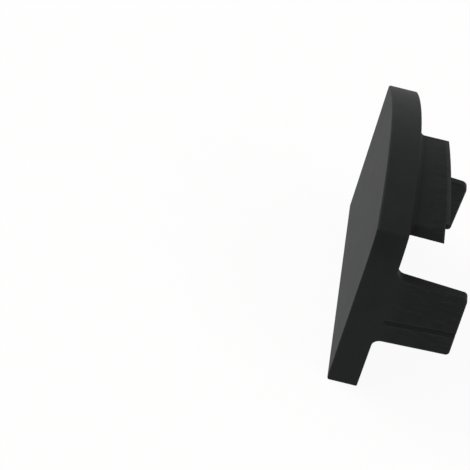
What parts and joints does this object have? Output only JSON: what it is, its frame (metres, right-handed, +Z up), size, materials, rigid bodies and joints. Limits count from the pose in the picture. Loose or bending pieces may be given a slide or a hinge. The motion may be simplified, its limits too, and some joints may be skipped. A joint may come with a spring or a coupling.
{
  "type": "profile end cap",
  "caption": "Moulded plastic end cap for a framing profile: an arched plate with a curved rib and flat tongues behind it that push into the profile's cut end.",
  "frame": {"origin": "middle of the plate's back face, which seats on the profile's cut end", "axes": "+X along the plate's width towards its taller side, +Y out of the back face into the profile, +Z up from the flat lower edge towards the arch"},
  "size_m": [0.04, 0.0154, 0.0313],
  "materials": {
    "end_cap": "fine-grained black moulding"
  },
  "bodies": {
    "root": {"end_cap": "end_cap"}
  },
  "joints": []
}
